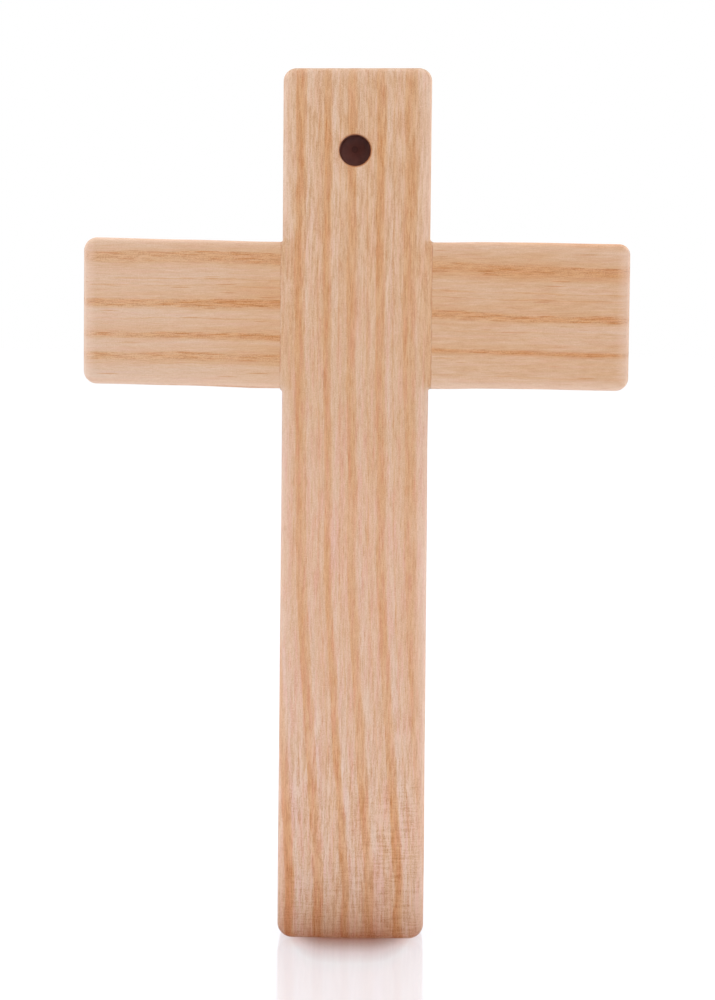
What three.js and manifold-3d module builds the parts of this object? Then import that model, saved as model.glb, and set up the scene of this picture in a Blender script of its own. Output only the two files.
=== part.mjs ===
import * as THREE from 'three';
import Module from 'manifold-3d';
import { mergeVertices } from 'three/addons/utils/BufferGeometryUtils.js';

// Wooden wall cross: two ash boards joined by a glued cross lap, then sanded as one piece.
// Millimetres. The face with the hanging hole looks along -Y, +X is to its right, +Z is up.
// The origin is the middle of the foot's end, half way through the thickness.

// Finished cross
const crossHeight = 200;
const crossWidth = 124.4;
const thickness = 18;
const uprightWidth = 33.4;
const crossbarHeight = 33.2;
const crossbarLevel = 144.2; // foot to the middle of the crossbar

// Sanding after assembly
const endCornerRadius = 3; // outer corners of the outline
const innerCornerRadius = 0.8; // hollow fillets where upright and arms meet
const edgeRadius = 1.2; // round-over between the faces and the outline
const sandedOff = 0.5; // taken from each side of both boards outside the crossing

// Cross lap
const uprightTongue = 9; // what the upright keeps at the crossing, on the hole's side
const glueLine = 0.05; // between the faces of the two boards

// Hanging hole, blind, drilled square to the face
const holeRadius = 3.55;
const holeDepth = 12;
const holeBelowTop = 18.7;
const holeSideways = -0.6; // from the upright's middle line
const holeRimEase = 0.3; // broken edge of the mouth
const pitRadius = 0.7; // mark of the drill's centre point in the floor of the hole
const pitDepth = 1;

// Fineness of the facets
const arcSegments = 4; // half the facets of each corner arc
const edgeSegments = 4; // facets across each round-over
const holeFacets = 48;

// How far a cutting block or drill reaches past what it cuts
const overshoot = 5;

// Colours of the bare wood
const uprightColour = 0xd9af90;
const crossbarColour = 0xd8ae8a;
const woodRoughness = 0.55;

// Planes that more than one piece is cut to
const holeFace = -thickness / 2;
const plainFace = thickness / 2;
const lapPlane = holeFace + uprightTongue;
const uprightBoardWidth = uprightWidth + 2 * sandedOff;
const crossbarBoardHeight = crossbarHeight + 2 * sandedOff;

const wasm = await Module();
wasm.setup();

// Closed mesh to a solid that can be cut
function toSolid(geometry) {
  const bare = geometry.clone();
  bare.deleteAttribute('normal');
  bare.deleteAttribute('uv');
  const merged = mergeVertices(bare);
  return new wasm.Manifold(new wasm.Mesh({
    numProp: 3,
    vertProperties: new Float32Array(merged.attributes.position.array),
    triVerts: new Uint32Array(merged.index.array),
  }));
}

// Cut solid back to a named mesh with flat-shaded facets
function toMesh(solid, name, colour) {
  const cut = solid.getMesh();
  const geometry = new THREE.BufferGeometry();
  geometry.setAttribute('position', new THREE.BufferAttribute(cut.vertProperties, 3));
  geometry.setIndex(new THREE.BufferAttribute(cut.triVerts, 1));
  geometry.computeVertexNormals();
  const material = new THREE.MeshStandardMaterial({
    color: colour,
    roughness: woodRoughness,
    metalness: 0,
    flatShading: true,
  });
  const mesh = new THREE.Mesh(geometry, material);
  mesh.name = name;
  return mesh;
}

// Block between two opposite corners
function block(low, high) {
  const size = new THREE.Vector3().subVectors(high, low);
  const middle = new THREE.Vector3().addVectors(low, high).multiplyScalar(0.5);
  const geometry = new THREE.BoxGeometry(size.x, size.y, size.z);
  geometry.translate(middle.x, middle.y, middle.z);
  return toSolid(geometry);
}

// Adds one rounded right-angled corner to a path that turns there, to the left or to the right
function addCorner(path, before, corner, after, radius) {
  const arriving = new THREE.Vector2().subVectors(corner, before).normalize();
  const leaving = new THREE.Vector2().subVectors(after, corner).normalize();
  const turn = Math.sign(arriving.cross(leaving));
  const start = corner.clone().addScaledVector(arriving, -radius);
  const end = corner.clone().addScaledVector(leaving, radius);
  const centre = start.clone().addScaledVector(leaving, radius);
  const startAngle = Math.atan2(start.y - centre.y, start.x - centre.x);
  const endAngle = Math.atan2(end.y - centre.y, end.x - centre.x);
  path.absarc(centre.x, centre.y, radius, startAngle, endAngle, turn < 0);
}

// Outline of the sanded cross as its face is seen, counter-clockwise from the foot's left
function crossOutline() {
  const stemX = uprightWidth / 2;
  const tipX = crossWidth / 2;
  const armLow = crossbarLevel - crossbarHeight / 2;
  const armHigh = crossbarLevel + crossbarHeight / 2;
  const corners = [
    [-stemX, 0, endCornerRadius],
    [stemX, 0, endCornerRadius],
    [stemX, armLow, innerCornerRadius],
    [tipX, armLow, endCornerRadius],
    [tipX, armHigh, endCornerRadius],
    [stemX, armHigh, innerCornerRadius],
    [stemX, crossHeight, endCornerRadius],
    [-stemX, crossHeight, endCornerRadius],
    [-stemX, armHigh, innerCornerRadius],
    [-tipX, armHigh, endCornerRadius],
    [-tipX, armLow, endCornerRadius],
    [-stemX, armLow, innerCornerRadius],
  ];
  const points = corners.map(([x, z]) => new THREE.Vector2(x, z));
  const outline = new THREE.Shape();
  corners.forEach(([, , radius], i) => {
    const before = points[(i + points.length - 1) % points.length];
    const after = points[(i + 1) % points.length];
    addCorner(outline, before, points[i], after, radius);
  });
  return outline;
}

// Whole cross as sanded, before it is told apart into its two boards
function sandedCross() {
  const geometry = new THREE.ExtrudeGeometry(crossOutline(), {
    depth: thickness - 2 * edgeRadius,
    curveSegments: arcSegments,
    bevelThickness: edgeRadius,
    bevelSize: edgeRadius,
    bevelOffset: -edgeRadius,
    bevelSegments: edgeSegments,
  });
  geometry.translate(0, 0, edgeRadius - thickness / 2);
  geometry.rotateX(Math.PI / 2);
  return toSolid(geometry);
}

// Drill that leaves the blind hole, its floor pit and its eased mouth
function hangingHole() {
  const floor = holeFace + holeDepth;
  const profile = [
    [0, holeFace - overshoot],
    [holeRadius + holeRimEase, holeFace - overshoot],
    [holeRadius + holeRimEase, holeFace],
    [holeRadius, holeFace + holeRimEase],
    [holeRadius, floor],
    [pitRadius, floor],
    [0, floor + pitDepth],
  ].map(([radius, y]) => new THREE.Vector2(radius, y));
  const geometry = new THREE.LatheGeometry(profile, holeFacets);
  geometry.translate(holeSideways, 0, crossHeight - holeBelowTop);
  return toSolid(geometry);
}

// Room that the upright as sawn takes up from one y to another, grown by a gap at its sides
function uprightRoom(lowY, highY, gap) {
  const x = uprightBoardWidth / 2 + gap;
  return block(
    new THREE.Vector3(-x, lowY, -overshoot),
    new THREE.Vector3(x, highY, crossHeight + overshoot),
  );
}

// Room that the crossbar as sawn takes up from one y to another, grown by a gap above and below
function crossbarRoom(lowY, highY, gap) {
  const x = crossWidth / 2 + overshoot;
  const z = crossbarBoardHeight / 2 + gap;
  return block(
    new THREE.Vector3(-x, lowY, crossbarLevel - z),
    new THREE.Vector3(x, highY, crossbarLevel + z),
  );
}

// Tall board, notched on the plain side where the crossbar passes
function upright(cross) {
  const board = uprightRoom(holeFace - overshoot, plainFace + overshoot, 0);
  const notch = crossbarRoom(lapPlane, plainFace + overshoot, glueLine);
  const solid = cross.intersect(board).subtract(notch).subtract(hangingHole());
  return toMesh(solid, 'upright', uprightColour);
}

// Short board with both arms, notched on the hole's side where the upright passes
function crossbar(cross) {
  const board = crossbarRoom(holeFace - overshoot, plainFace + overshoot, 0);
  const notch = uprightRoom(holeFace - overshoot, lapPlane + glueLine, glueLine);
  const solid = cross.intersect(board).subtract(notch);
  return toMesh(solid, 'crossbar', crossbarColour);
}

const cross = sandedCross();
const woodenCross = new THREE.Group();
woodenCross.add(upright(cross), crossbar(cross));

export default woodenCross;
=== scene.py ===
import math

import bmesh
import bpy
import numpy as np
from mathutils import Euler, Matrix, Vector
from mathutils.geometry import delaunay_2d_cdt


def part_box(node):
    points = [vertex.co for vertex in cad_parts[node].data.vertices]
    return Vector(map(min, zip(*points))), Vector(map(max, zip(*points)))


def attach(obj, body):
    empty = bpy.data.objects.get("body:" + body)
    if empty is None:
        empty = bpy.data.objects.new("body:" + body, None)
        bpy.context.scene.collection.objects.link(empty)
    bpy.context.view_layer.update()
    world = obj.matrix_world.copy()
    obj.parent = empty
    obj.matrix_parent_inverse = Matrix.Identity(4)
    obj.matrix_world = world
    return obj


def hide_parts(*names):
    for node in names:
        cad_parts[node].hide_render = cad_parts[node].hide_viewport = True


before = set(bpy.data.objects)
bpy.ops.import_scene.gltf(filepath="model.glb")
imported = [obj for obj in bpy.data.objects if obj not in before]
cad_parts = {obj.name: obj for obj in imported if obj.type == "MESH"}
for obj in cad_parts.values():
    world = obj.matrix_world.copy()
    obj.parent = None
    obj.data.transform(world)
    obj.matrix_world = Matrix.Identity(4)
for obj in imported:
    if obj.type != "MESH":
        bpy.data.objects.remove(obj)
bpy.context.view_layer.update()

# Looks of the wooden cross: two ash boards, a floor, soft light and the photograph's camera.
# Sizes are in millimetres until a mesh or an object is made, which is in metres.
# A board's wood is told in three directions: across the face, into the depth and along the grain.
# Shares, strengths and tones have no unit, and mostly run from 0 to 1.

MM = 0.001

upright_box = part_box("upright")
crossbar_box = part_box("crossbar")

# Sizes that the frame gives
HEIGHT = upright_box[1].z / MM
FRONT = upright_box[0].y / MM
BACK = upright_box[1].y / MM
BOARD_HALF = upright_box[1].x / MM
TIP = crossbar_box[1].x / MM
LEVEL = (crossbar_box[0].z + crossbar_box[1].z) / 2 / MM
BAR_HALF = (crossbar_box[1].z - crossbar_box[0].z) / 2 / MM

# Outline as sanded
SANDED_OFF = 0.5
STEM_HALF = BOARD_HALF - SANDED_OFF
ARM_HALF = BAR_HALF - SANDED_OFF
TOP_CORNER = 2.9
FOOT_CORNER = 3.3
TIP_CORNER = 3.0
LAST_TIP_CORNER = 2.5
WIDE_FILLET = 0.95
TIGHT_FILLET = 0.5
CORNER_STEPS = 20
EDGE_STEP = 0.9

# Small slips of the saw and the sander: how far each edge strays, as (place along it, distance)
LEFT_EDGE = [
    (0, -0.1), (20, -0.13), (60, -0.06), (100, 0.0), (124, -0.02), (160, -0.18), (200, -0.26),
]
RIGHT_EDGE = [
    (0, 0.18), (18, 0.2), (45, 0.09), (92, 0.0), (114, -0.13), (125, -0.08), (160, 0.0), (200, 0.0),
]
ARM_EDGES = [
    (-62, 0.24), (-40, -0.07), (-20, -0.38), (20, -0.15), (29, 0.03), (40, 0.03), (56, -0.12), (62, -0.15),
]
# The underside of the arms strays by this much more
ARM_UNDERSIDE = [
    (-62, -0.12), (-50, -0.05), (-38, -0.04), (-28, -0.12), (-19, -0.26), (18, -0.16), (62, -0.18),
]
LEFT_TIP_SHORT = 0.1
TOP_SLANT = 0.32
FOOT_BOW = 0.2

# Where a slip begins and where it is full, outwards from the line that it is measured from
STEM_FADE = (1.0, 9.0)
TIP_FADE = (-9.0, -4.0)
ARM_FADE = (-4.0, 0.0)
FILLET_FADE = (1.5, 9.0)
UNDERSIDE_FADE = (0.0, -3.0)
TOP_FADE = 8.0
FOOT_BOW_HEIGHT = 20.0

# Rounded edge: its main radius, and the wider ease that sanding leaves beside it
EDGE_RADIUS = 1.05
EASE_RADIUS = 9.0
SIDE_EASE_SHARE = 0.5
EASE_ANGLE = 5.0
EDGE_STEPS = 16
FINE_STEPS = 8
EDGE_CROWDING = 1.3

# Facets of the flat faces and the sides
FACE_BAND = 3.0
FACE_BAND_STEP = 0.6
FACE_GRID = 1.0
GRID_CLEARANCE = 0.55
SIDE_STEPS = 14
SAME_POINT = 1e-6
SHARP_ANGLE = 40.0

# Cross lap
LAP_PLANE = 0.0
GLUE_LINE = 0.02
OVERSHOOT = 5.0

# Hanging hole
HOLE_RADIUS = 3.55
HOLE_DEPTH = 12.0
HOLE_X = -0.6
HOLE_Z = HEIGHT - 18.7
HOLE_RIM = 0.3
FLOOR_FILLET = 0.25
PIT_RADIUS = 0.85
PIT_DEPTH = 0.6
PIT_STRAY = (-0.2, 0.45)
HOLE_STEPS = 96
RIM_STEPS = 6
FILLET_STEPS = 4


def linear(red, green, blue):
    """A colour as it is seen, 0 to 255, to Blender's linear values."""
    seen = [c / 255 for c in (red, green, blue)]
    return tuple(c / 12.92 if c <= 0.04045 else ((c + 0.055) / 1.055) ** 2.4 for c in seen)


def smoothstep(value, low, high):
    t = np.clip((value - low) / (high - low), 0, 1)
    return t * t * (3 - 2 * t)


# Outline of the cross

def outline_corners():
    """Corners of the face as (x, z, radius), around it from the foot's left."""
    low, high = LEVEL - ARM_HALF, LEVEL + ARM_HALF
    return [
        (-STEM_HALF, 0.0, FOOT_CORNER),
        (STEM_HALF, 0.0, FOOT_CORNER),
        (STEM_HALF, low, TIGHT_FILLET),
        (TIP, low, TIP_CORNER),
        (TIP, high, LAST_TIP_CORNER),
        (STEM_HALF, high, WIDE_FILLET),
        (STEM_HALF, HEIGHT, TOP_CORNER),
        (-STEM_HALF, HEIGHT, TOP_CORNER),
        (-STEM_HALF, high, TIGHT_FILLET),
        (-TIP, high, TIP_CORNER),
        (-TIP, low, TIP_CORNER),
        (-STEM_HALF, low, WIDE_FILLET),
    ]


def outline(inset):
    """The outline moved inwards by inset, as an array of (x, z), always with as many points."""
    corners = outline_corners()
    count = len(corners)
    points = []
    arcs = []
    for i in range(count):
        before, corner, after = corners[i - 1], corners[i], corners[(i + 1) % count]
        arriving = np.sign([corner[0] - before[0], corner[1] - before[1]])
        leaving = np.sign([after[0] - corner[0], after[1] - corner[1]])
        turn = arriving[0] * leaving[1] - arriving[1] * leaving[0]
        inward_a = np.array([-arriving[1], arriving[0]])
        inward_l = np.array([-leaving[1], leaving[0]])
        place = np.array(corner[:2]) + (inward_a + inward_l) * inset
        if turn > 0:
            radius = corner[2] * math.exp(-inset / corner[2])
        else:
            radius = corner[2] + inset
        centre = place + (leaving - arriving) * radius
        start = place - arriving * radius
        first = math.atan2(start[1] - centre[1], start[0] - centre[0])
        angles = first + turn * np.linspace(0, math.pi / 2, CORNER_STEPS + 1)
        arcs.append(centre + radius * np.stack([np.cos(angles), np.sin(angles)], 1))
    for i, arc in enumerate(arcs):
        start, end = arc[-1], arcs[(i + 1) % count][0]
        corner, after = corners[i], corners[(i + 1) % count]
        span = math.hypot(after[0] - corner[0], after[1] - corner[1])
        steps = max(2, round(span / EDGE_STEP))
        between = np.linspace(0, 1, steps + 1)[1:-1, None]
        points.append(arc)
        points.append(start + (end - start) * between)
    return np.concatenate(points)


def edge_profile():
    """Rows of (inset, depth below the face) from the flat of a face to the middle of the edge's turn."""
    angles = np.radians(np.linspace(0, 90, EDGE_STEPS * FINE_STEPS + 1))
    ease = math.radians(EASE_ANGLE)
    easing = np.exp(-angles / ease) + np.exp((angles - math.pi / 2) / ease) * SIDE_EASE_SHARE
    bend = EDGE_RADIUS + EASE_RADIUS * easing
    middle = (angles[1:] + angles[:-1]) / 2
    bend = (bend[1:] + bend[:-1]) / 2
    step = bend * (angles[1] - angles[0])
    along = np.concatenate([[0], np.cumsum(np.cos(middle) * step)])
    down = np.concatenate([[0], np.cumsum(np.sin(middle) * step)])
    # Steps are closer where the ease begins
    kept = np.linspace(0, 1, EDGE_STEPS + 1) ** EDGE_CROWDING * (len(angles) - 1)
    keep = np.unique(np.round(kept).astype(int))
    return np.stack([along[-1] - along[keep], down[keep]], 1)


def hand_warp(points):
    """The small slips of saw and sander, which move the outline by tenths of a millimetre."""
    x, z = points[:, 0], points[:, 1]
    rightwards = np.clip(x / STEM_HALF, -1, 1) / 2 + 0.5
    on_stem = 1 - smoothstep(np.abs(x), STEM_HALF + STEM_FADE[0], STEM_HALF + STEM_FADE[1])
    left, right = stray(z, LEFT_EDGE), stray(z, RIGHT_EDGE)
    sideways = (left * (1 - rightwards) + right * rightwards) * on_stem
    sideways = sideways + LEFT_TIP_SHORT * smoothstep(-x, TIP + TIP_FADE[0], TIP + TIP_FADE[1])
    underneath = smoothstep(LEVEL - z, UNDERSIDE_FADE[0], ARM_HALF + UNDERSIDE_FADE[1])
    on_arms = smoothstep(np.abs(x), STEM_HALF + ARM_FADE[0], STEM_HALF + ARM_FADE[1])
    clear = smoothstep(np.abs(z - LEVEL), ARM_HALF + FILLET_FADE[0], ARM_HALF + FILLET_FADE[1])
    on_arms = on_arms * (1 - clear)
    upwards = (stray(x, ARM_EDGES) + stray(x, ARM_UNDERSIDE) * underneath) * on_arms
    at_top = smoothstep(z, LEVEL + ARM_HALF + TOP_FADE, HEIGHT)
    upwards = upwards - at_top * TOP_SLANT * (1 - rightwards)
    at_foot = 1 - smoothstep(z, 0, FOOT_BOW_HEIGHT)
    upwards = upwards + at_foot * FOOT_BOW * (x / STEM_HALF) ** 2
    return np.stack([x + sideways, z + upwards], 1)


def stray(place, edge):
    """How far an edge strays at a place, smooth between the places where it is given."""
    places, shifts = np.array(edge, dtype=float).T
    i = np.clip(np.searchsorted(places, place) - 1, 0, len(places) - 2)
    t = smoothstep(place, places[i], places[i + 1])
    return shifts[i] * (1 - t) + shifts[i + 1] * t


def sanded_cross():
    """The whole cross, closed, before it is told apart into its two boards."""
    profile = edge_profile()
    rings = [(FACE_BAND, 0.0), (FACE_BAND - FACE_BAND_STEP, 0.0)]
    rings += [(max(a, 0.0), b) for a, b in profile]
    depth = BACK - FRONT
    middle_ys = np.linspace(profile[-1][1], depth - profile[-1][1], SIDE_STEPS)[1:-1]
    rings += [(0.0, y) for y in middle_ys]
    rings += [(max(a, 0.0), depth - b) for a, b in profile[::-1]]
    rings += [(FACE_BAND - FACE_BAND_STEP, depth), (FACE_BAND, depth)]
    vertices = []
    for inset, down in rings:
        ring = hand_warp(outline(inset))
        vertices.append(np.stack([ring[:, 0], np.full(len(ring), FRONT + down), ring[:, 1]], 1))
    count = len(vertices[0])
    faces = []
    for r in range(len(rings) - 1):
        for i in range(count):
            j = (i + 1) % count
            faces.append((r * count + i, (r + 1) * count + i, (r + 1) * count + j, r * count + j))
    flat, triangles = face_grid(vertices[0][:, [0, 2]])
    extra = flat[count:]
    total = len(rings) * count
    for y, base, first, flip in (
        (FRONT, 0, total, False),
        (BACK, (len(rings) - 1) * count, total + len(extra), True),
    ):
        vertices.append(np.stack([extra[:, 0], np.full(len(extra), y), extra[:, 1]], 1))
        for face in triangles:
            corners = [base + v if v < count else first + v - count for v in face]
            faces.append(tuple(corners[::-1] if flip else corners))
    return np.concatenate(vertices), faces


def face_grid(border):
    """Points and triangles that fill a flat outline with an even grid. The border's points come first."""
    low, high = border.min(0), border.max(0)
    xs = np.arange(low[0] + FACE_GRID / 2, high[0], FACE_GRID)
    zs = np.arange(low[1] + FACE_GRID / 2, high[1], FACE_GRID)
    gx, gz = np.meshgrid(xs, zs)
    points = np.stack([gx.ravel(), gz.ravel()], 1)
    margin = FACE_BAND + FACE_GRID * GRID_CLEARANCE
    sideways, level = np.abs(points[:, 0]), np.abs(points[:, 1] - LEVEL)
    in_stem = (sideways < STEM_HALF - margin) & (points[:, 1] > margin)
    in_stem &= points[:, 1] < HEIGHT - margin - TOP_SLANT
    in_arms = (level < ARM_HALF - margin) & (sideways < TIP - margin)
    joined = np.concatenate([border, points[in_stem | in_arms]])
    count = len(border)
    edges = [(i, (i + 1) % count) for i in range(count)]
    filled = delaunay_2d_cdt([Vector(p) for p in joined], edges, [list(range(count))], 1, SAME_POINT)
    made, _, triangles, sources, *_ = filled
    order = {i: s[0] for i, s in enumerate(sources)}
    assert len(made) == len(joined)
    return joined, [tuple(order[v] for v in face) for face in triangles]


# Solids

def mesh_object(name, vertices, faces):
    """A mesh in metres from points in millimetres, with its faces pointing out."""
    mesh = bpy.data.meshes.new(name)
    mesh.from_pydata([tuple(v) for v in np.asarray(vertices) * MM], [], faces)
    shape = bmesh.new()
    shape.from_mesh(mesh)
    bmesh.ops.recalc_face_normals(shape, faces=shape.faces)
    shape.to_mesh(mesh)
    shape.free()
    made = bpy.data.objects.new(name, mesh)
    bpy.context.scene.collection.objects.link(made)
    return made


def block(name, low, high):
    corners = [(x, y, z) for x in (low[0], high[0]) for y in (low[1], high[1]) for z in (low[2], high[2])]
    faces = [(0, 1, 3, 2), (4, 6, 7, 5), (0, 4, 5, 1), (2, 3, 7, 6), (0, 2, 6, 4), (1, 5, 7, 3)]
    return mesh_object(name, corners, faces)


def hole_drill():
    """The room that the drill leaves: eased mouth, wall, rounded floor corner and centre pit."""
    rows = [(HOLE_RADIUS + HOLE_RIM, -OVERSHOOT)]
    for a in np.linspace(90, 0, RIM_STEPS + 1):
        turn = math.radians(a)
        rows.append((HOLE_RADIUS + HOLE_RIM * (1 - math.cos(turn)), HOLE_RIM * (1 - math.sin(turn))))
    for a in np.linspace(0, 90, FILLET_STEPS + 1):
        turn = math.radians(a)
        radius = HOLE_RADIUS - FLOOR_FILLET * (1 - math.cos(turn))
        rows.append((radius, HOLE_DEPTH - FLOOR_FILLET * (1 - math.sin(turn))))
    rows.append((PIT_RADIUS, HOLE_DEPTH))
    pit_x, pit_z = HOLE_X + PIT_STRAY[0], HOLE_Z + PIT_STRAY[1]
    vertices = []
    for radius, depth in rows:
        x, z = (pit_x, pit_z) if radius == PIT_RADIUS else (HOLE_X, HOLE_Z)
        for k in range(HOLE_STEPS):
            a = 2 * math.pi * k / HOLE_STEPS
            vertices.append((x + radius * math.cos(a), FRONT + depth, z + radius * math.sin(a)))
    faces = []
    for r in range(len(rows) - 1):
        for k in range(HOLE_STEPS):
            j = (k + 1) % HOLE_STEPS
            a, b = r * HOLE_STEPS, (r + 1) * HOLE_STEPS
            faces.append((a + k, a + j, b + j, b + k))
    faces.append(tuple(range(HOLE_STEPS)))
    tip = len(vertices)
    vertices.append((pit_x, FRONT + HOLE_DEPTH + PIT_DEPTH, pit_z))
    last = (len(rows) - 1) * HOLE_STEPS
    faces += [(last + k, last + (k + 1) % HOLE_STEPS, tip) for k in range(HOLE_STEPS)]
    return mesh_object("drill", vertices, faces)


def cut(piece, tool, operation):
    """Applies one boolean to a piece and removes the tool."""
    change = piece.modifiers.new("cut", "BOOLEAN")
    change.operation = operation
    change.solver = "MANIFOLD"
    change.object = tool
    depsgraph = bpy.context.evaluated_depsgraph_get()
    result = bpy.data.meshes.new_from_object(piece.evaluated_get(depsgraph))
    piece.modifiers.clear()
    old, piece.data = piece.data, result
    bpy.data.meshes.remove(old)
    bpy.data.objects.remove(tool)


def finish_board(piece, name, node):
    mesh = piece.data
    mesh.name = name
    mesh.shade_smooth()
    mesh.set_sharp_from_angle(angle=math.radians(SHARP_ANGLE))
    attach(piece, "root")
    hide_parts(node)


def upright_board(vertices, faces):
    piece = mesh_object("upright_board", vertices, faces)
    far = TIP + OVERSHOOT
    room = block("room", (-BOARD_HALF, -far, -OVERSHOOT), (BOARD_HALF, far, HEIGHT + OVERSHOOT))
    cut(piece, room, "INTERSECT")
    half = BAR_HALF + GLUE_LINE
    notch = block("notch", (-far, LAP_PLANE, LEVEL - half), (far, far, LEVEL + half))
    cut(piece, notch, "DIFFERENCE")
    cut(piece, hole_drill(), "DIFFERENCE")
    finish_board(piece, "upright_board", "upright")
    return piece


def crossbar_board(vertices, faces):
    piece = mesh_object("crossbar_board", vertices, faces)
    far = TIP + OVERSHOOT
    room = block("room", (-far, -far, LEVEL - BAR_HALF), (far, far, LEVEL + BAR_HALF))
    cut(piece, room, "INTERSECT")
    half = BOARD_HALF + GLUE_LINE
    notch = block("notch", (-half, -far, -OVERSHOOT), (half, LAP_PLANE + GLUE_LINE, HEIGHT + OVERSHOOT))
    cut(piece, notch, "DIFFERENCE")
    finish_board(piece, "crossbar_board", "crossbar")
    return piece


# Materials

class Tree:
    """Writes shader nodes as formulas."""

    def __init__(self, tree):
        self.nodes = tree.nodes
        self.links = tree.links
        self.nodes.clear()

    def node(self, kind, inputs=(), **settings):
        made = self.nodes.new(kind)
        for key, value in settings.items():
            setattr(made, key, value)
        for key, value in dict(inputs).items():
            socket = made.inputs[key]
            if isinstance(value, bpy.types.NodeSocket):
                self.links.new(value, socket)
            else:
                socket.default_value = value
        return made

    def math(self, operation, *values, clamp=False):
        inputs = dict(enumerate(values))
        return self.node("ShaderNodeMath", inputs, operation=operation, use_clamp=clamp).outputs[0]

    def add(self, a, b):
        return self.math("ADD", a, b)

    def sub(self, a, b):
        return self.math("SUBTRACT", a, b)

    def mul(self, a, b):
        return self.math("MULTIPLY", a, b)

    def mad(self, a, b, c):
        return self.math("MULTIPLY_ADD", a, b, c)

    def size(self, a):
        return self.math("ABSOLUTE", a)

    def total(self, *values):
        result = values[0]
        for value in values[1:]:
            result = self.add(result, value)
        return result

    def ramp(self, value, low, high, to_low=0.0, to_high=1.0, smooth=True):
        """Value from low..high to to_low..to_high, held at both ends."""
        inputs = {"Value": value, "From Min": low, "From Max": high, "To Min": to_low, "To Max": to_high}
        kind = "SMOOTHSTEP" if smooth else "LINEAR"
        return self.node("ShaderNodeMapRange", inputs, interpolation_type=kind).outputs[0]

    def bump_at(self, value, middle, reach):
        """One at the middle, falling to nothing a reach away on both sides."""
        return self.ramp(self.size(self.sub(value, middle)), reach, 0.0)

    def vector(self, x, y, z):
        return self.node("ShaderNodeCombineXYZ", {0: x, 1: y, 2: z}).outputs[0]

    def split(self, vector):
        """The three parts of a vector."""
        return self.node("ShaderNodeSeparateXYZ", {0: vector}).outputs

    def millimetres(self):
        """Where on the object a point is, as x, y and z in millimetres."""
        inputs = {0: self.node("ShaderNodeTexCoord").outputs["Object"], 1: (1 / MM,) * 3}
        return self.split(self.node("ShaderNodeVectorMath", inputs, operation="MULTIPLY").outputs[0])

    def noise(self, vector, detail=0.0, roughness=0.5):
        """Noise about zero, mostly within one half either way."""
        inputs = {"Vector": vector, "Scale": 1.0, "Detail": detail, "Roughness": roughness}
        made = self.node("ShaderNodeTexNoise", inputs, noise_dimensions="3D")
        return self.sub(made.outputs[0], 0.5)

    def noise_at(self, place, scales, detail):
        """Noise at a place, where each of its three parts is scaled by a number of its own."""
        return self.noise(self.vector(*(self.mul(part, by) for part, by in zip(place, scales))), detail)

    def cells(self, vector):
        """Distance to the middle of a scattered cell, and the cell's own random value."""
        inputs = {"Vector": vector, "Scale": 1.0, "Randomness": 1.0}
        made = self.node("ShaderNodeTexVoronoi", inputs, voronoi_dimensions="3D", feature="F1")
        split = self.node("ShaderNodeSeparateColor", {0: made.outputs["Color"]})
        return made.outputs["Distance"], split.outputs[0]

    def colours(self, value, stops, kind="LINEAR"):
        """A colour ramp from (place, colour) stops. The first is at 0 and the last at 1."""
        made = self.node("ShaderNodeValToRGB", {0: value})
        ramp = made.color_ramp
        ramp.interpolation = kind
        ramp.elements[0].color = (*stops[0][1], 1.0)
        ramp.elements[1].color = (*stops[-1][1], 1.0)
        for place, colour in stops[1:-1]:
            ramp.elements.new(place).color = (*colour, 1.0)
        return made.outputs[0]

    def levels(self, value, stops, kind="LINEAR"):
        """A number from (place, number) stops."""
        return self.colours(value, [(place, (level,) * 3) for place, level in stops], kind)

    def blend(self, share, a, b, kind="MIX"):
        made = self.node("ShaderNodeMix", {0: share}, data_type="RGBA", blend_type=kind)
        for key, value in ((6, a), (7, b)):
            if isinstance(value, bpy.types.NodeSocket):
                self.links.new(value, made.inputs[key])
            else:
                made.inputs[key].default_value = (*value, 1.0)
        return made.outputs[2]


# Colours of the ash, from its palest wood to its deepest early wood
ASH_TONES = [
    (0.0, linear(221, 197, 180)),
    (0.2, linear(219, 187, 162)),
    (0.4, linear(214, 174, 139)),
    (0.6, linear(210, 162, 119)),
    (0.8, linear(205, 148, 97)),
    (1.0, linear(196, 133, 78)),
]
# What is left of the colour where fibres are darkest and where the wood is pinkest
FIBRE_SHADE = (0.52, 0.26, 0.0)
PINK_SHADE = (1.0, 0.88, 0.93)
# The upright is a little rosier below the crossing
FLUSH = (1.035, 1.01, 1.02)
SEAM_TONE = linear(186, 118, 72)
# Colour of the painted rim highlight
RIM_HIGHLIGHT = (0.97, 0.77, 0.69)

# How far the rings wander, in millimetres, and how quickly the slow noises change in each direction
WANDER = 1.2
WANDER_SCALES = (0.05, 0.05, 1 / 30)
UNEVEN_SCALES = (0.3, 0.1, 1 / 16)
CLOUD_SCALES = (0.12, 0.12, 0.03)
SPOT_SCALES = (0.9, 0.9, 0.9)
MOTTLE_SCALES = (1.0, 3.0, 1.0)

# Depth of the colour, from 0 to 1 / DEPTH_SCALE: where it starts, and what each part adds at full strength
DEPTH_SCALE = 0.8
BASE_DEPTH = 0.37
BAND_MIDDLE = 0.4
STRAND_DEPTH = 0.32
MEDIUM_DEPTH = 0.27
BROAD_DEPTH = 0.19
CLOUD_DEPTH = 0.16

# Share of the fibre shade: where it starts, and what each part adds at full strength
BASE_SHADE = 0.18
STRAND_SHADE = 0.55
FIBRE_GRAIN = 0.5
FLECK_GRAIN = 0.45
SPECK_GRAIN = 0.5

# Small pores against large ones, in size and in strength
SMALL_PORE_SIZE = 0.6
SMALL_PORE_DEPTH = 0.7

# Gloss and relief of the sanded surface
WOOD_ROUGHNESS = 0.5
PORE_ROUGHNESS = 0.1
SHEEN = 0.12
SHEEN_ROUGHNESS = 0.4
RELIEF = 0.04
RELIEF_STRENGTH = 0.5
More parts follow.
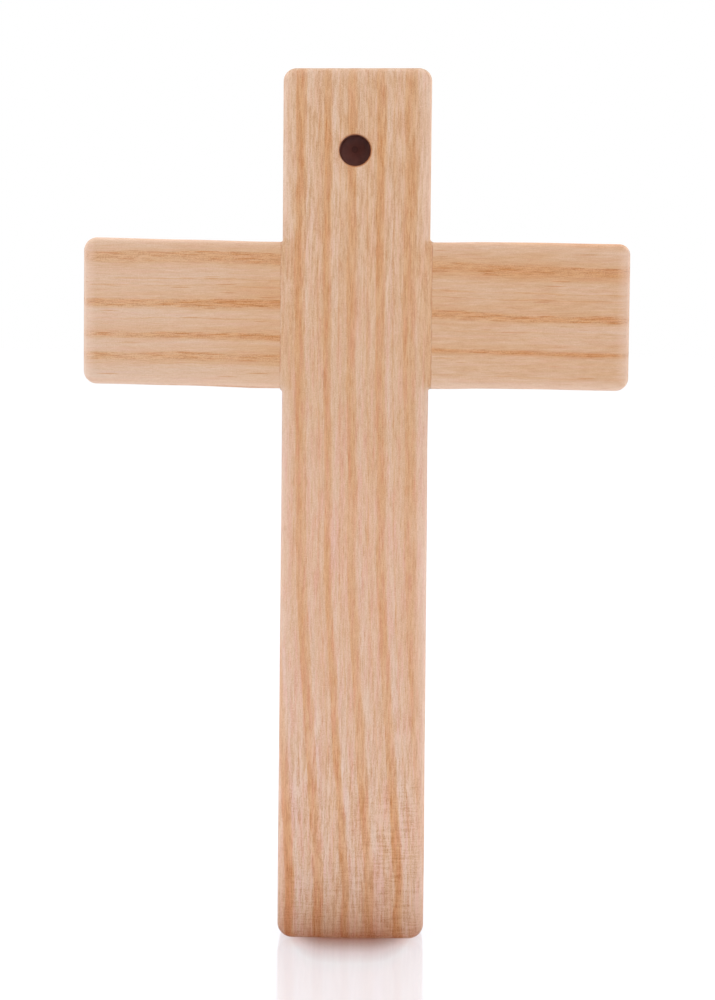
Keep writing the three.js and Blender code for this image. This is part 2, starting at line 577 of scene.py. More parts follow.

# Painted highlight along the rims, in place of the side and back light on the rounded edges: its share from
# the edge inwards over this width
RIM_HIGHLIGHT_WIDTH = 3.0
RIM_HIGHLIGHT_STOPS = [(0.0, 1.0), (0.15, 1.0), (0.33, 0.6), (0.66, 0.28), (1.0, 0.0)]

# Painted shade on the foot where it stands, in place of the floor's light that its shadow takes away: up to
# this height and less towards its sides
PAINTED_FOOT_SHADE_HEIGHT = 20.0
PAINTED_FOOT_SHADE = [
    (0.0, (0.67, 0.49, 0.39)),
    (0.05, (0.68, 0.505, 0.41)),
    (0.15, (0.77, 0.655, 0.565)),
    (0.32, (0.87, 0.805, 0.73)),
    (0.6, (0.945, 0.92, 0.9)),
    (1.0, (1.0, 1.0, 1.0)),
]

# Hanging hole: painted light and shade in a ring at its mouth, strongest at its lower right, and painted
# shade on its wall and floor, deeper further in
HOLE_MOUTH = linear(160, 92, 44)
HOLE_WALL = linear(190, 118, 74)
HOLE_DEEP = linear(137, 78, 67)
PIT_COLOUR = linear(112, 56, 46)


def ring_phase(tree, q, starts):
    """Counts the growth rings passed on the way to q. Each ring starts where starts says."""
    passed = []
    for start, after in zip(starts, starts[1:]):
        passed.append(tree.ramp(q, start, after, smooth=False))
    return tree.total(*passed)


def held_steps(strengths):
    """Even steps from 0 to 1, one for each ring, at half its strength."""
    steps = [(i / len(strengths), level / 2) for i, level in enumerate(strengths)]
    return [*steps, (1.0, strengths[-1] / 2)]


def pore_dashes(tree, place, width, length, share, shift):
    """Short dark strokes, each the cut of one vessel. Share is the part of the cells that hold one."""
    across, depth, along = place
    drawn_out = tree.vector(
        tree.mad(across, 1 / width, shift),
        tree.mad(depth, 1 / width, shift * 0.7),
        tree.mad(along, 1 / length, shift * 1.3),
    )
    distance, chance = tree.cells(drawn_out)
    stroke = tree.ramp(distance, 0.45, 0.2)
    present = tree.math("LESS_THAN", chance, share)
    return tree.mul(stroke, present)


def streaks(tree, place, width, length, shift, detail=1.0):
    """Noise drawn out along the grain. The shift keeps one layer of it apart from the next."""
    across, depth, along = place
    drawn_out = tree.vector(
        tree.mad(across, 1 / width, shift),
        tree.mad(depth, 1 / width, -shift),
        tree.mad(along, 1 / length, shift * 2),
    )
    return tree.noise(drawn_out, detail)


def bundles(tree, value):
    """The same noise with firmer sides, as bundles of fibres have."""
    return tree.ramp(value, -0.14, 0.14, -0.15, 0.15)


def fine_lines(tree, q, along, lines):
    """Thin darker lines inside the rings, as (place, half width, strength), broken up along the grain."""
    drawn = []
    for i, (place, reach, strength) in enumerate(lines):
        broken = tree.noise(tree.vector(i * 7.3, 1.7, tree.mul(along, 1 / 14)), 2.0)
        drawn.append(tree.mul(tree.bump_at(q, place, reach), tree.mad(broken, strength * 2.2, strength)))
    return tree.total(*drawn) if drawn else 0.0


def growth_rings(tree, board, place):
    """Rings as shells about a pith line outside the board. Gives how far across the face the shell of a
    place comes out, the same with ragged sides, and how strong the bands of early wood are."""
    across, depth, along = place
    pith_across, pith_depth = board["pith"]
    wander = tree.noise_at(place, WANDER_SCALES, 2.0)
    straight = tree.sub(tree.sub(across, board["drift"](tree, along)), tree.mul(wander, WANDER))
    side = tree.sub(straight, pith_across)
    deep = tree.sub(depth, pith_depth)
    squares = tree.mad(side, side, tree.mul(deep, deep))
    reach = tree.math("SQRT", tree.sub(squares, (FRONT - pith_depth) ** 2))
    shell = tree.add(reach, pith_across)
    ragged = streaks(tree, place, width=0.34, length=board["rag"], shift=3.1, detail=2.0)
    q = tree.total(shell, tree.mul(ragged, board["ragged"]), board["bend"](tree, shell, along))

    phase = ring_phase(tree, q, board["rings"])
    tone = tree.levels(tree.math("FRACT", phase), board["profile"])
    nth = tree.add(tree.math("FLOOR", phase), 0.5)
    nth = tree.math("DIVIDE", nth, len(board["strengths"]))
    strength = tree.levels(nth, held_steps(board["strengths"]), "CONSTANT")
    strength = tree.mul(strength, board["fade"](tree, shell, along))
    uneven = tree.noise_at((shell, depth, along), UNEVEN_SCALES, 1.0)
    strength = tree.mul(strength, tree.mad(uneven, 2.0, 1.75))
    return shell, q, tree.mul(tree.sub(tone, BAND_MIDDLE), strength)


def wear_and_painted_light(tree, board, x, y, z, colour):
    """Adds the end grain, which on the upright is also painted shade, a painted highlight on the rims, the
    joint line and painted shade low on the foot.
    """
    normal = tree.split(tree.node("ShaderNodeNewGeometry").outputs["Normal"])
    # End grain is darker; on the upright this darkening is also painted shade against the overhead light on
    # its top and foot
    end_grain_and_shade = tree.ramp(tree.size(normal[board["grain_axis"]]), board["end_from"], 0.98)
    colour = tree.blend(end_grain_and_shade, colour, board["end_grain_and_shade"], "MULTIPLY")
    # Painted highlight on the rims of the faces that look to the front and the back
    facing = tree.ramp(tree.size(normal[1]), 0.3, 0.7)
    colour = tree.blend(tree.mul(board["rim"](tree, x, z), facing), colour, RIM_HIGHLIGHT)
    spots = tree.ramp(tree.noise_at((x, y, z), SPOT_SCALES, 1.0), -0.15, 0.15)
    seam = tree.mul(board["seam"](tree, x, y, z), tree.mad(spots, 0.4, 0.06))
    colour = tree.blend(seam, colour, SEAM_TONE)
    # Painted shade low on the foot, weaker towards its sides
    foot_shade = tree.colours(tree.math("DIVIDE", z, PAINTED_FOOT_SHADE_HEIGHT, clamp=True), PAINTED_FOOT_SHADE)
    weaker = tree.mul(tree.ramp(tree.size(x), 4.5, 15.5), tree.ramp(x, -3.0, 3.0, 0.38, 0.55))
    return tree.blend(tree.sub(1.0, weaker), colour, foot_shade, "MULTIPLY")


def hole_light_and_shade(tree, x, y, z, colour):
    """Paints the hanging hole's light and shade: a brown ring at its mouth, strongest at the lower right
    where light falls on the eased rim, and shade on its wall and floor that deepens further in.
    """
    right, up = tree.sub(x, HOLE_X), tree.sub(z, HOLE_Z)
    from_axis = tree.math("SQRT", tree.mad(right, right, tree.mul(up, up)))
    # Painted light and shade at the mouth: the lit side of the eased rim at the lower right
    low_right = tree.mul(tree.mad(up, -0.5, right), 1 / HOLE_RADIUS)
    mouth_light_and_shade = tree.ramp(from_axis, HOLE_RADIUS + 0.45, HOLE_RADIUS + 0.1)
    mouth_light_and_shade = tree.mul(mouth_light_and_shade, tree.ramp(low_right, -0.6, 0.9, 0.45, 0.9))
    in_front = tree.ramp(y, FRONT + 1.0, FRONT + 0.8)
    colour = tree.blend(tree.mul(mouth_light_and_shade, in_front), colour, HOLE_MOUTH)

    # Painted shade on the wall and floor, deeper further in
    hole_shade = tree.blend(tree.ramp(y, FRONT + 1.0, FRONT + 8.0), HOLE_WALL, HOLE_DEEP)
    in_pit = tree.ramp(y, FRONT + HOLE_DEPTH - 0.02, FRONT + HOLE_DEPTH + 0.1)
    hole_shade = tree.blend(in_pit, hole_shade, PIT_COLOUR)
    mottled = tree.mad(tree.noise_at((x, y, z), MOTTLE_SCALES, 2.0), 0.5, 1.0)
    hole_shade = tree.blend(1.0, hole_shade, tree.vector(mottled, mottled, mottled), "MULTIPLY")
    within = tree.math("LESS_THAN", from_axis, HOLE_RADIUS + 0.12)
    before_back = tree.math("LESS_THAN", y, FRONT + HOLE_DEPTH + PIT_DEPTH + 0.5)
    inside = tree.mul(tree.mul(within, before_back), tree.ramp(y, FRONT + 0.1, FRONT + 0.6))
    return tree.blend(inside, colour, hole_shade)


def ash(name, board):
    """Ash wood in solid form. board holds what the two boards differ in."""
    material = bpy.data.materials.new(name)
    material.use_nodes = True
    tree = Tree(material.node_tree)
    x, y, z = tree.millimetres()
    place = board["axes"](tree, x, y, z)
    across, depth, along = place
    shell, q, band = growth_rings(tree, board, place)
    early = tree.ramp(band, 0.05, 0.25)
    long = board["long"]

    # Strokes of the open pores, thick in the early wood
    often = tree.mad(early, board["early_pores"], board["late_pores"])
    width, length = board["pore_width"], board["pore"]
    large = pore_dashes(tree, place, width, length, often, shift=7.7)
    width, length = width * SMALL_PORE_SIZE, length * SMALL_PORE_SIZE
    small = pore_dashes(tree, place, width, length, often, shift=31.3)

    # Depth of the colour
    medium = bundles(tree, streaks(tree, place, width=0.68, length=long, shift=23.9))
    broad = streaks(tree, place, width=1.5, length=long * 2, shift=47.3)
    cloud = tree.noise_at(place, CLOUD_SCALES, 1.0)
    strand = bundles(tree, streaks(tree, place, width=0.66, length=long * 0.5, shift=57.1))
    strand = tree.mul(strand, board["strands"](tree, along))
    darkness = tree.total(
        tree.add(band, BASE_DEPTH),
        tree.mul(strand, STRAND_DEPTH),
        tree.mul(medium, MEDIUM_DEPTH),
        tree.mul(broad, BROAD_DEPTH),
        tree.mul(cloud, CLOUD_DEPTH),
        tree.mul(large, board["pore_tone"]),
        tree.mul(small, board["pore_tone"] * SMALL_PORE_DEPTH),
        fine_lines(tree, q, along, board["lines"]),
        board["tone"](tree, shell, depth, along),
    )
    colour = tree.colours(tree.mul(darkness, DEPTH_SCALE), ASH_TONES)

    # Threads of pinker wood, and the rosier part of the board
    thread = streaks(tree, place, width=0.7, length=long * 0.5, shift=91.7)
    pinker = tree.ramp(thread, -0.12, 0.3, 0.0, board["pink"](tree, along))
    colour = tree.blend(pinker, colour, PINK_SHADE, "MULTIPLY")
    colour = tree.blend(board["flush"](tree, along), colour, FLUSH, "MULTIPLY")

    # Fibres, nearly neutral
    fibre = streaks(tree, place, width=0.19, length=long * 0.3, shift=11.3)
    fleck = streaks(tree, place, width=0.2, length=1.3, shift=5.7)
    speck = streaks(tree, place, width=0.2, length=0.3, shift=71.9, detail=0.0)
    grain = tree.total(
        tree.mul(fibre, FIBRE_GRAIN),
        tree.mul(fleck, FLECK_GRAIN),
        tree.mul(speck, SPECK_GRAIN),
    )
    lively = tree.mul(board["lively"](tree, along), tree.mad(early, board["band_grain"], 1.0))
    shade = tree.total(
        tree.mad(grain, lively, BASE_SHADE),
        tree.mul(strand, STRAND_SHADE),
        tree.mul(large, board["pore_shade"]),
        board["shade"](tree, across, depth, along),
    )
    colour = tree.blend(tree.math("MAXIMUM", shade, 0.0), colour, FIBRE_SHADE, "MULTIPLY")
    colour = wear_and_painted_light(tree, board, x, y, z, colour)
    colour = hole_light_and_shade(tree, x, y, z, colour)

    # Fibres and pores are a little sunk in the surface
    height = tree.total(
        tree.mul(fibre, -0.5),
        tree.mul(fleck, -0.3),
        tree.mul(large, -1.0),
        tree.mul(small, -0.5),
    )
    bump = tree.node("ShaderNodeBump", {
        "Strength": RELIEF_STRENGTH,
        "Distance": RELIEF * MM,
        "Height": height,
    })
    shader = tree.node("ShaderNodeBsdfPrincipled", {
        "Base Color": colour,
        "Roughness": tree.mad(large, PORE_ROUGHNESS, WOOD_ROUGHNESS),
        "Normal": bump.outputs[0],
        "Sheen Weight": SHEEN,
        "Sheen Roughness": SHEEN_ROUGHNESS,
    })
    output = tree.node("ShaderNodeOutputMaterial")
    tree.links.new(shader.outputs[0], output.inputs["Surface"])
    return material


def nothing(tree, *place):
    return 0.0


def near_seam(tree, distance):
    return tree.ramp(distance, 0.24, 0.05)


def rim_highlight_share(tree, distance, strength):
    """Share of the painted rim highlight at a distance from an edge of the outline."""
    pale = tree.levels(tree.math("DIVIDE", distance, RIM_HIGHLIGHT_WIDTH, clamp=True), RIM_HIGHLIGHT_STOPS)
    return tree.mul(pale, strength)


# The tall board: across is x, along is z
def upright_drift(tree, along):
    """The rings lean to the right towards the foot."""
    low = tree.math("MAXIMUM", tree.sub(1.0, tree.mul(along, 1 / 150)), 0.0)
    lean = tree.sub(tree.ramp(along, 80.0, 22.0, 0.0, 1.0), tree.ramp(along, 15.0, 0.0, 0.0, 1.1))
    lean = tree.add(lean, tree.mul(tree.bump_at(along, 116.0, 26.0), 0.35))
    return tree.add(tree.mad(tree.mul(low, low), 5.6, -0.35), lean)


def upright_tone(tree, shell, depth, along):
    """Yellower towards the top, pinker below the middle, deeper beside the joints and low at the left."""
    at_crossing = tree.ramp(tree.size(tree.sub(along, LEVEL)), 18.0, 14.0)
    beside = tree.mul(tree.ramp(tree.size(shell), 13.0, 16.5), at_crossing)
    low_left = tree.mul(tree.bump_at(shell, -20.0, 3.5), tree.ramp(along, 45.0, 20.0))
    low_left = tree.mul(low_left, tree.ramp(along, 2.0, 14.0, 0.35, 1.0))
    return tree.total(
        tree.ramp(along, 85.0, 155.0, -0.022, 0.08),
        tree.ramp(along, 80.0, 30.0, 0.0, -0.07),
        tree.mul(beside, 0.13),
        tree.mul(low_left, 0.2),
    )


def upright_fade(tree, shell, along):
    """Bands are weaker below the crossing and stronger low down. The right one pales towards the foot."""
    last = tree.mul(tree.bump_at(shell, 13.5, 3.5), tree.ramp(along, 90.0, 50.0, 0.2, 0.75))
    middle = tree.mul(tree.bump_at(along, 100.0, 28.0), 0.25)
    low = tree.ramp(along, 50.0, 28.0, 1.0, 1.35)
    return tree.sub(low, tree.math("MAXIMUM", last, middle))


def upright_flush(tree, along):
    return tree.ramp(along, 124.0, 96.0)


# Painted highlight on the stem's sides, stronger on the right, and on its top
def upright_rim_light(tree, x, z):
    clear = tree.ramp(tree.size(tree.sub(z, LEVEL)), ARM_HALF - 0.5, ARM_HALF + 1.5)
    strength = tree.ramp(x, -1.0, 1.0, 0.2, 0.3)
    sides = tree.mul(rim_highlight_share(tree, tree.sub(STEM_HALF, tree.size(x)), strength), clear)
    return tree.math("MAXIMUM", sides, rim_highlight_share(tree, tree.sub(HEIGHT, z), 0.17))


def upright_pink(tree, along):
    """Fewer pink threads above the crossing."""
    return tree.ramp(along, 125.0, 165.0, 1.0, 0.5)


def upright_lively(tree, along):
    """Coarser grain towards both ends, most of all the foot."""
    return tree.add(tree.ramp(along, 60.0, 30.0, 0.95, 1.4), tree.ramp(along, 130.0, 165.0, 0.0, 0.2))


def upright_strands(tree, along):
    """Strands show most near both ends."""
    return tree.add(tree.ramp(along, 125.0, 165.0, 0.35, 1.05), tree.ramp(along, 75.0, 30.0, 0.0, 0.85))


def scratch(tree, x, z, start, end):
    """A thin line from one place on the face to another, one in its middle."""
    length = math.dist(start, end)
    run, rise = (end[0] - start[0]) / length, (end[1] - start[1]) / length
    right, up = tree.sub(x, start[0]), tree.sub(z, start[1])
    forward = tree.mad(right, run, tree.mul(up, rise))
    sideways = tree.size(tree.sub(tree.mul(up, run), tree.mul(right, rise)))
    return tree.mul(tree.ramp(sideways, 0.22, 0.05), tree.bump_at(forward, length / 2, length / 2 + 0.5))


# Two light scratches near the top, as (start, end), each an (x, z)
SCRATCHES = [((-5.6, 197.0), (-2.2, 195.6)), ((-7.4, 187.1), (-4.7, 182.4))]
SCRATCH_SHADE = 0.14
SANDING_SHADE = 0.78


def upright_shade(tree, across, depth, along):
    """Fine sanding marks across the grain, low on the right and all over the foot, and the scratches."""
    on_right = tree.ramp(across, -6.0, 13.0, 0.3, 1.15)
    at_foot = tree.ramp(along, 24.0, 8.0, 0.0, 0.8)
    where = tree.mul(tree.ramp(along, 48.0, 20.0), tree.math("MAXIMUM", on_right, at_foot))
    mark = streaks(tree, (along, depth, across), width=0.34, length=3.2, shift=17.9)
    scratched = tree.total(*(scratch(tree, across, along, start, end) for start, end in SCRATCHES))
    on_face = tree.math("LESS_THAN", depth, FRONT + 1.0)
    scratched = tree.mul(tree.mul(scratched, on_face), SCRATCH_SHADE)
    return tree.mad(tree.mul(mark, SANDING_SHADE), where, scratched)


def upright_seam(tree, x, y, z):
    side = near_seam(tree, tree.sub(BOARD_HALF, tree.size(x)))
    gap = tree.size(tree.sub(tree.size(tree.sub(z, LEVEL)), BAR_HALF))
    return tree.math("MAXIMUM", side, tree.mul(near_seam(tree, gap), tree.math("GREATER_THAN", y, 0.0)))


UPRIGHT = {
    "axes": lambda tree, x, y, z: (x, y, z),
    "grain_axis": 2,
    "drift": upright_drift,
    # Where each ring starts on the hole's face, from the one nearest the pith outwards
    "rings": [-39.5, -33.0, -26.6, -20.1, -13.6, -7.2, -1.9, 4.8, 11.2, 19.5, 26.0],
    "strengths": [1.0, 1.0, 1.1, 1.3, 0.95, 1.0, 0.85, 1.0, 0.82, 1.0],
    "pith": (-95.0, 60.0),
    "profile": [
        (0.0, 0.73), (0.08, 0.76), (0.22, 0.68), (0.29, 0.52), (0.34, 0.28), (0.42, 0.20), (0.6, 0.30),
        (0.96, 0.40), (1.0, 0.68),
    ],
    "lines": [
        (-11.5, 0.22, 0.2), (-8.5, 0.2, 0.22), (-3.7, 0.18, 0.2), (2.75, 0.25, 0.22), (8.7, 0.2, 0.2),
    ],
    # How long the ragged tongues of the rings are along the grain, and how far they reach
    "rag": 5.0,
    "ragged": 0.8,
    # How long the strands are along the grain
    "long": 13.0,
    "strands": upright_strands,
    # How the end grain darkens, and how far a surface turns towards the grain before it does. On the
    # upright this is also painted shade, which tones down the overhead light on its top and foot
    "end_grain_and_shade": (0.77, 0.79, 0.75),
    "end_from": 0.35,
    # Length and width of a pore, how many there are, and how they show in colour and in shade
    "pore": 4.0,
    "pore_width": 0.5,
    "early_pores": 0.35,
    "late_pores": 0.3,
    "pore_tone": 0.12,
    "pore_shade": 0.05,
    # How much coarser the fibres are inside the bands
    "band_grain": 0.0,
    "pink": upright_pink,
    "bend": nothing,
    "tone": upright_tone,
    "fade": upright_fade,
    "flush": upright_flush,
    "shade": upright_shade,
    "lively": upright_lively,
    "seam": upright_seam,
    "rim": upright_rim_light,
}


# The short board: across runs down from its top edge, along is x
def crossbar_drift(tree, along):
    """The rings sink a little from the left tip to the right one."""
    return tree.ramp(along, -40.0, 55.0, 0.0, 2.8)


def crossbar_bend(tree, shell, along):
    """How far single rings run higher (above zero) or lower than the rest."""
    first = tree.mul(tree.bump_at(shell, 4.0, 3.0), tree.mul(tree.bump_at(along, 20.0, 16.0), 0.7))
    second = tree.add(tree.ramp(along, 24.0, 40.0, 0.0, 0.7), tree.ramp(along, -20.0, -45.0, 0.0, 0.5))
    second = tree.mul(tree.bump_at(shell, 14.0, 3.4), second)
    third = tree.mul(tree.bump_at(shell, 22.0, 3.2), tree.ramp(along, 0.0, 16.0, 0.15, 1.2))
    return tree.sub(tree.sub(first, second), third)


def fourth_ring(tree, shell, along):
    """Where the fourth ring would be on the right arm."""
    there = tree.mul(tree.ramp(shell, 24.0, 25.4), tree.ramp(shell, 31.0, 29.0))
    return tree.mul(there, tree.ramp(along, -8.0, 10.0))


# How deep the colour is from the left tip to the right one, where 0.1 is neither deep nor pale
ARM_TONE = [(0.0, 0.0), (0.18, 0.065), (0.35, 0.15), (0.65, 0.07), (0.81, 0.185), (1.0, 0.155)]


def crossbar_tone(tree, shell, depth, along):
    """Deeper in colour beside the upright, in the wide first ring of the right arm and towards its tip."""
    on_left = tree.mul(tree.ramp(along, -40.0, -17.0), tree.ramp(along, 0.0, -10.0))
    before_second = tree.mul(tree.bump_at(shell, 11.5, 4.5), tree.mul(on_left, 0.16))
    before_fourth = tree.mul(tree.bump_at(shell, 24.5, 2.0), tree.mul(on_left, 0.12))
    first = tree.mul(tree.bump_at(shell, 4.6, 2.8), tree.ramp(along, 5.0, 20.0, 0.0, 0.16))
    after_second = tree.mul(tree.bump_at(shell, 17.0, 2.5), tree.mul(tree.bump_at(along, 22.0, 20.0), 0.12))
    top_right = tree.mul(tree.ramp(shell, 4.0, 2.0), tree.ramp(along, 5.0, 20.0, 0.0, 0.05))
    beside = tree.ramp(tree.size(along), 32.0, 17.0, 0.045, 0.11)
    after_third = tree.mul(tree.bump_at(shell, 23.2, 1.8), tree.ramp(along, 8.0, 18.0, 0.0, 0.14))
    ends = tree.sub(tree.levels(tree.mad(along, 0.5 / TIP, 0.5), ARM_TONE), 0.1)
    low = tree.ramp(shell, 27.0, 30.5, 0.0, -0.08)
    missing = tree.mul(fourth_ring(tree, shell, along), -0.06)
    rings = tree.total(before_second, before_fourth, first, after_second, after_third, missing)
    return tree.total(rings, top_right, beside, ends, low)


def crossbar_fade(tree, shell, along):
    """The fourth ring runs out under the upright."""
    return tree.sub(1.0, fourth_ring(tree, shell, along))


# Painted highlight on the tips and along the arms' edges, stronger on the right of the upper edge
def crossbar_rim_light(tree, x, z):
    tips = rim_highlight_share(tree, tree.sub(TIP, tree.size(x)), 0.36)
    low = rim_highlight_share(tree, tree.sub(z, LEVEL - ARM_HALF - 0.3), 0.28)
    high = rim_highlight_share(tree, tree.sub(LEVEL + ARM_HALF, z), tree.ramp(x, -1.0, 1.0, 0.08, 0.17))
    return tree.math("MAXIMUM", tips, tree.math("MAXIMUM", low, high))


def crossbar_pink(tree, along):
    return 0.4


def crossbar_shade(tree, across, depth, along):
    """The right arm is a little duller."""
    return tree.ramp(along, 5.0, 20.0, 0.0, 0.02)


def crossbar_lively(tree, along):
    """Smoother than the tall board."""
    return 0.6


def crossbar_strands(tree, along):
    return tree.ramp(along, 0.0, 25.0, 0.1, 0.4)


def crossbar_seam(tree, x, y, z):
    gap = tree.size(tree.sub(tree.size(x), BOARD_HALF))
    side = tree.mul(near_seam(tree, gap), tree.math("LESS_THAN", y, 0.0))
    return tree.math("MAXIMUM", side, near_seam(tree, tree.sub(BAR_HALF, tree.size(tree.sub(z, LEVEL)))))


CROSSBAR = {
    "axes": lambda tree, x, y, z: (tree.sub(LEVEL + ARM_HALF, z), y, x),
    "grain_axis": 0,
    "drift": crossbar_drift,
    "rings": [-24.0, -17.0, -9.5, -3.5, 3.0, 13.4, 21.2, 25.8, 33.5, 41.0, 50.0],
    "strengths": [0.9, 0.9, 1.0, 0.85, 0.6, 0.83, 0.73, 0.57, 0.9, 0.9],
    "pith": (-70.0, -60.0),
    "profile": [
        (0.0, 0.80), (0.12, 0.84), (0.2, 0.70), (0.27, 0.46), (0.36, 0.27), (0.5, 0.18), (0.8, 0.32),
        (0.96, 0.44), (1.0, 0.72),
    ],
    "lines": [(9.0, 0.2, 0.25), (10.6, 0.15, 0.25), (18.0, 0.15, 0.2), (28.2, 0.2, 0.2)],
    "rag": 7.0,
    "ragged": 1.1,
    "long": 11.0,
    "strands": crossbar_strands,
    "end_grain_and_shade": (0.86, 0.79, 0.72),
    "end_from": 0.8,
    "pore": 7.0,
    "pore_width": 0.36,
    "early_pores": 0.6,
    "late_pores": 0.03,
    "pore_tone": 0.32,
    "pore_shade": 0.1,
    "band_grain": 1.8,
    "pink": crossbar_pink,
    "bend": crossbar_bend,
    "tone": crossbar_tone,
    "flush": nothing,
    "fade": crossbar_fade,
    "shade": crossbar_shade,
    "lively": crossbar_lively,
    "seam": crossbar_seam,
    "rim": crossbar_rim_light,
}


def dress_boards(upright, crossbar):
    for piece, name, board in ((upright, "ash_upright", UPRIGHT), (crossbar, "ash_crossbar", CROSSBAR)):
        piece.data.materials.clear()
        piece.data.materials.append(ash(name, board))


# Stage

FLOOR_HALF = 4.0 / MM
FLOOR_LIT = (0.88, 0.88, 0.88)
# Painted shadow on the floor around the foot, as the light sees it, over FOOT_SHADE_REACH
PAINTED_FLOOR_SHADOW = (0.42, 0.24, 0.17)
FOOT_SHADE_REACH = 26.0

# Painted glow: light that the floor emits under the rounded edges of the foot, in place of the light it
# throws up there
CONTACT_GLOW = (0.55, 0.46, 0.42)
CONTACT_REACH = 3.0

# Distances from the foot count from this far inside its edge
INSIDE_FOOT = 1.0

# The floor as it is seen. It glows white under its polish, a little more so beyond CLEAR_REACH, and throws
# back only FLOOR_SEEN of the light.
FLOOR_SEEN = 0.08
FLOOR_GLOW = 0.95
FLOOR_GLOW_CLEAR = 1.05
CLEAR_REACH = (120.0, 300.0)
POLISH_IOR = 1.42
POLISH_ROUGHNESS = 0.1

# Its shade on the way out from the foot. It is deepest before the foot's middle and ends sooner towards
# its corners and beside it, as these two numbers say.
SHADE_ROUNDING = 0.00068
SHADE_BESIDE = 10.0
SEEN_SHADE_REACH = 45.0
SEEN_SHADE = [
    (0.0, (0.33, 0.15, 0.105)),
    (0.05, (0.385, 0.23, 0.2)),
    (0.15, (0.48, 0.36, 0.34)),
    (0.35, (0.765, 0.69, 0.72)),
    (0.6, (0.935, 0.96, 1.01)),
    (0.83, (0.975, 0.97, 1.025)),
    (1.0, (0.98, 0.975, 1.03)),
]

# Warm light of the wood on the floor before the foot's two corners
CORNER_WARMTH = (1.0, 0.88, 0.83)
WARM_PLACE = 12.5
WARM_HALF_WIDTH = 4.5
WARM_REACH = 14.0

# Strength of the white world as light on the object
WORLD_FILL = 0.18


def seen_directly(tree):
    """One for camera rays and for what shows in a reflection or through glass."""
    path = tree.node("ShaderNodeLightPath")
    seen = tree.math("MAXIMUM", path.outputs["Is Camera Ray"], path.outputs["Is Glossy Ray"])
    return tree.math("MAXIMUM", seen, path.outputs["Is Transmission Ray"])


def from_foot(tree):
    """How far a place is to the right of the middle, beside the foot, and in front of or behind it.
    The last two count from a little inside the foot's edge."""
    x, y, _ = tree.millimetres()
    beside = tree.math("MAXIMUM", tree.sub(tree.size(x), STEM_HALF - INSIDE_FOOT), 0.0)
    before = tree.math("MAXIMUM", tree.sub(tree.size(y), BACK - INSIDE_FOOT), 0.0)
    return x, beside, before


def make_floor():
    """A glossy white floor. It looks white, with painted shade before the foot, and throws back the light
    of a white one, with a painted shadow around the foot and a painted glow under its edges.
    """
    h = FLOOR_HALF
    floor = mesh_object("floor", [(-h, -h, 0), (h, -h, 0), (h, h, 0), (-h, h, 0)], [(0, 1, 2, 3)])
    material = bpy.data.materials.new("white_floor")
    material.use_nodes = True
    tree = Tree(material.node_tree)
    x, beside, before = from_foot(tree)
    distance = tree.math("SQRT", tree.mad(beside, beside, tree.mul(before, before)))
    clear = tree.ramp(distance, 0.0, FOOT_SHADE_REACH, smooth=False)
    lit = tree.node("ShaderNodeBsdfPrincipled", {
        "Base Color": tree.blend(clear, PAINTED_FLOOR_SHADOW, FLOOR_LIT),
        "Roughness": 1.0,
        "Specular IOR Level": 0.0,
        "Emission Color": (*CONTACT_GLOW, 1.0),
        "Emission Strength": tree.ramp(distance, CONTACT_REACH, 0.0),
    })

    square = tree.mul(x, x)
    outwards = tree.mad(beside, SHADE_BESIDE, before)
    outwards = tree.mad(tree.mul(square, square), SHADE_ROUNDING, outwards)
    shade = tree.colours(tree.ramp(outwards, 0.0, SEEN_SHADE_REACH, smooth=False), SEEN_SHADE)
    at_corner = tree.bump_at(tree.size(x), WARM_PLACE, WARM_HALF_WIDTH)
    warm = tree.mul(tree.ramp(before, WARM_REACH, 0.0), at_corner)
    shade = tree.blend(warm, shade, CORNER_WARMTH, "MULTIPLY")
    white = tree.node("ShaderNodeBsdfPrincipled", {
        "Base Color": tree.blend(1.0, shade, (FLOOR_SEEN,) * 3, "MULTIPLY"),
        "Roughness": 1.0,
        "Specular IOR Level": 0.0,
        "Emission Color": shade,
        "Emission Strength": tree.ramp(outwards, *CLEAR_REACH, FLOOR_GLOW, FLOOR_GLOW_CLEAR),
    }).outputs[0]
    gloss = {"Color": (1.0, 1.0, 1.0, 1.0), "Roughness": POLISH_ROUGHNESS}
    polish = tree.node("ShaderNodeBsdfGlossy", gloss).outputs[0]
    mirrored = tree.node("ShaderNodeFresnel", {"IOR": POLISH_IOR}).outputs[0]
    seen = tree.node("ShaderNodeMixShader", {0: mirrored, 1: white, 2: polish}).outputs[0]
    mixed = tree.node("ShaderNodeMixShader", {0: seen_directly(tree), 1: lit.outputs[0], 2: seen})
    output = tree.node("ShaderNodeOutputMaterial")
    tree.links.new(mixed.outputs[0], output.inputs["Surface"])
    floor.data.materials.append(material)


def make_world():
    world = bpy.data.worlds.new("studio")
    bpy.context.scene.world = world
    world.use_nodes = True
    tree = Tree(world.node_tree)
    strength = tree.ramp(seen_directly(tree), 0.0, 1.0, WORLD_FILL, 1.0, smooth=False)
    background = tree.node("ShaderNodeBackground", {"Color": (1.0, 1.0, 1.0, 1.0), "Strength": strength})
    output = tree.node("ShaderNodeOutputWorld")
    tree.links.new(background.outputs[0], output.inputs["Surface"])


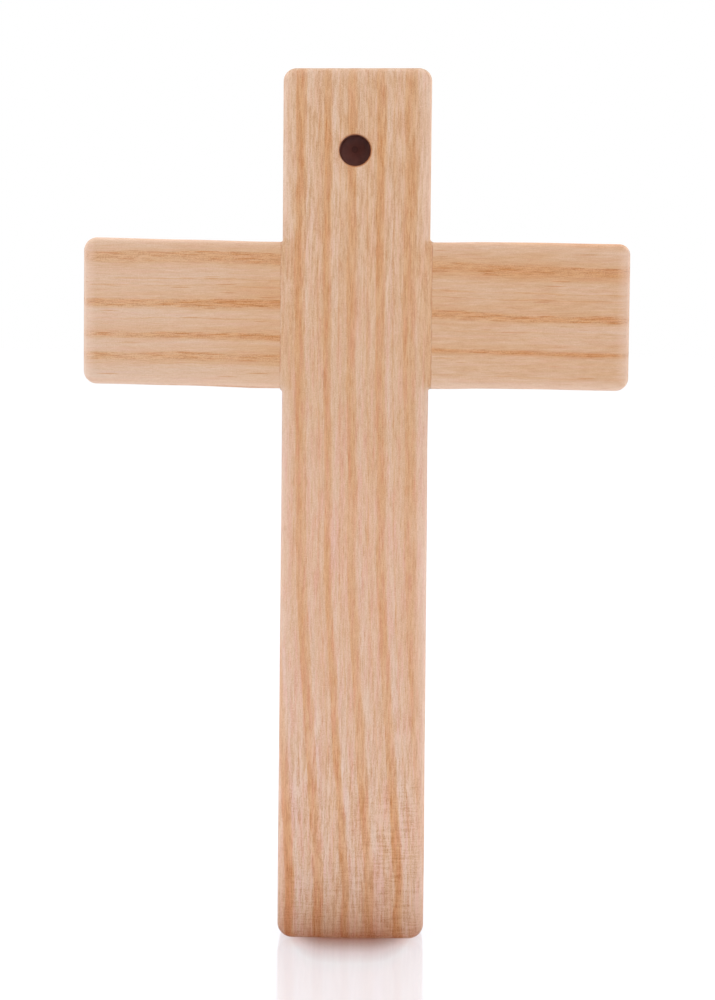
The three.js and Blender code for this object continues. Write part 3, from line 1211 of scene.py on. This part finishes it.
def softbox(name, place, target, width, height, watts):
    """A lamp that is turned to its target and isn't seen. Places and sizes are in metres."""
    lamp = bpy.data.lights.new(name, "AREA")
    lamp.shape = "RECTANGLE"
    lamp.size = width
    lamp.size_y = height
    lamp.energy = watts
    made = bpy.data.objects.new(name, lamp)
    made.location = place
    made.rotation_euler = (Vector(target) - Vector(place)).to_track_quat("-Z", "Y").to_euler()
    made.visible_camera = False
    made.visible_glossy = False
    bpy.context.scene.collection.objects.link(made)


def make_lights():
    middle = (0.0, 0.0, 0.1)
    softbox("key", (-0.5, -0.6, 0.7), middle, 0.5, 0.5, 2.4)
    softbox("front", (0.2, -0.95, 0.3), middle, 0.8, 0.5, 3.0)
    softbox("overhead", (0.0, 0.2, 0.9), (0.0, 0.2, 0.0), 1.3, 1.0, 9.5)
    softbox("left_back", (-0.6, 0.25, 0.25), middle, 0.4, 0.6, 1.6)
    softbox("right_back", (0.6, 0.25, 0.25), middle, 0.4, 0.6, 2.6)


# Camera, as worked out from the outline in the photograph, in millimetres, degrees and pixels

CAMERA_DISTANCE = 750.0
CAMERA_X = 10.0
CAMERA_HEIGHT = 160.71
CAMERA_PITCH = -4.493
CAMERA_YAW = 0.706
CAMERA_ROLL = 0.579
FOCAL_PIXELS = 3291.7
FRAME_LONG_SIDE = 1000
SENSOR = 36.0


def make_camera():
    data = bpy.data.cameras.new("camera")
    data.sensor_fit = "AUTO"
    data.sensor_width = SENSOR
    data.lens = FOCAL_PIXELS * SENSOR / FRAME_LONG_SIDE
    data.clip_start = 0.01
    data.clip_end = 50.0
    camera = bpy.data.objects.new("camera", data)
    aim = Euler((math.radians(90 + CAMERA_PITCH), 0.0, math.radians(CAMERA_YAW))).to_matrix()
    roll = Matrix.Rotation(math.radians(CAMERA_ROLL), 3, "Z")
    camera.rotation_euler = (aim @ roll).to_euler()
    camera.location = Vector((CAMERA_X, FRONT - CAMERA_DISTANCE, CAMERA_HEIGHT)) * MM
    bpy.context.scene.collection.objects.link(camera)
    bpy.context.scene.camera = camera


cross_vertices, cross_faces = sanded_cross()
upright = upright_board(cross_vertices, cross_faces)
crossbar = crossbar_board(cross_vertices, cross_faces)
dress_boards(upright, crossbar)
make_floor()
make_world()
make_lights()
make_camera()
bpy.context.scene.view_settings.view_transform = "Standard"
